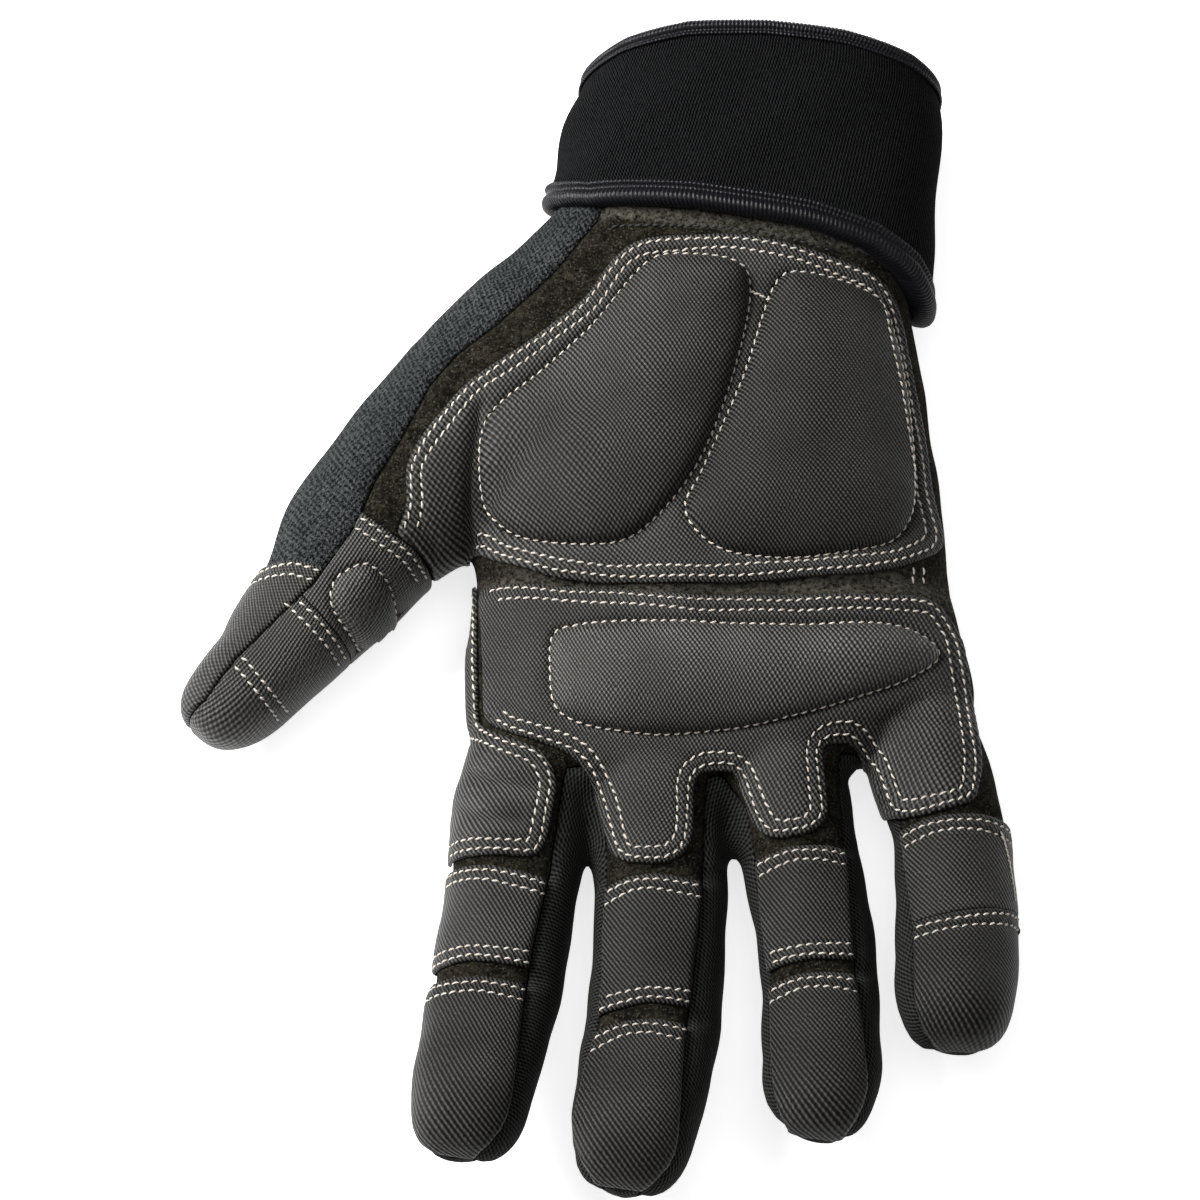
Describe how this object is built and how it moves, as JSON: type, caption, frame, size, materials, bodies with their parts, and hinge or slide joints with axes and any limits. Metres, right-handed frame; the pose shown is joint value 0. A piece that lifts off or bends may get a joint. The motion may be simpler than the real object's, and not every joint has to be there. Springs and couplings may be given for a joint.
{
  "type": "anti-vibration glove",
  "caption": "Right-hand work glove with gel pads and woven overlays on a suede palm, terry thumb, knit back and a wide neoprene cuff, lying palm up.",
  "frame": {"origin": "on the flat of the glove's back, under the middle of the palm, where it rests", "axes": "+X from the thumb side to the little finger, +Y from the fingertips to the cuff, +Z out of the palm"},
  "size_m": [0.1779, 0.2581, 0.0461],
  "materials": {
    "suede": "napped, matt, dark olive brown",
    "woven": "coarse diagonal weave, dark warm grey with a slight sheen",
    "terry": "short looped pile, matt, dark blue grey",
    "knit": "fine ribbed stretch knit, black",
    "neoprene": "knit-faced foam, matt, near black",
    "binding": "ribbed tape, black with a faint blue sheen",
    "thread": "spun sewing thread, cream"
  },
  "bodies": {
    "root": {"palm_panel": "suede", "back_panel": "knit", "thumb_terry": "terry", "fourchette_index_middle": "knit", "fourchette_middle_ring": "knit", "fourchette_ring_little": "knit", "palm_heel_overlay": "woven", "knuckle_overlay": "woven", "index_overlay": "woven", "index_mid_patch": "woven", "index_tip_patch": "woven", "middle_mid_patch": "woven", "middle_tip_patch": "woven", "ring_mid_patch": "woven", "ring_tip_patch": "woven", "little_mid_patch": "woven", "little_tip_patch": "woven", "thumb_front_patch": "woven", "thumb_end_patch": "woven", "thumb_back_cap": "woven", "thenar_pad": "woven", "hypothenar_pad": "woven", "knuckle_pad": "woven", "thumb_pad": "woven", "cuff": "neoprene", "cuff_binding_top": "binding", "cuff_binding_lower": "binding", "closure_tab": "knit"}
  },
  "joints": []
}
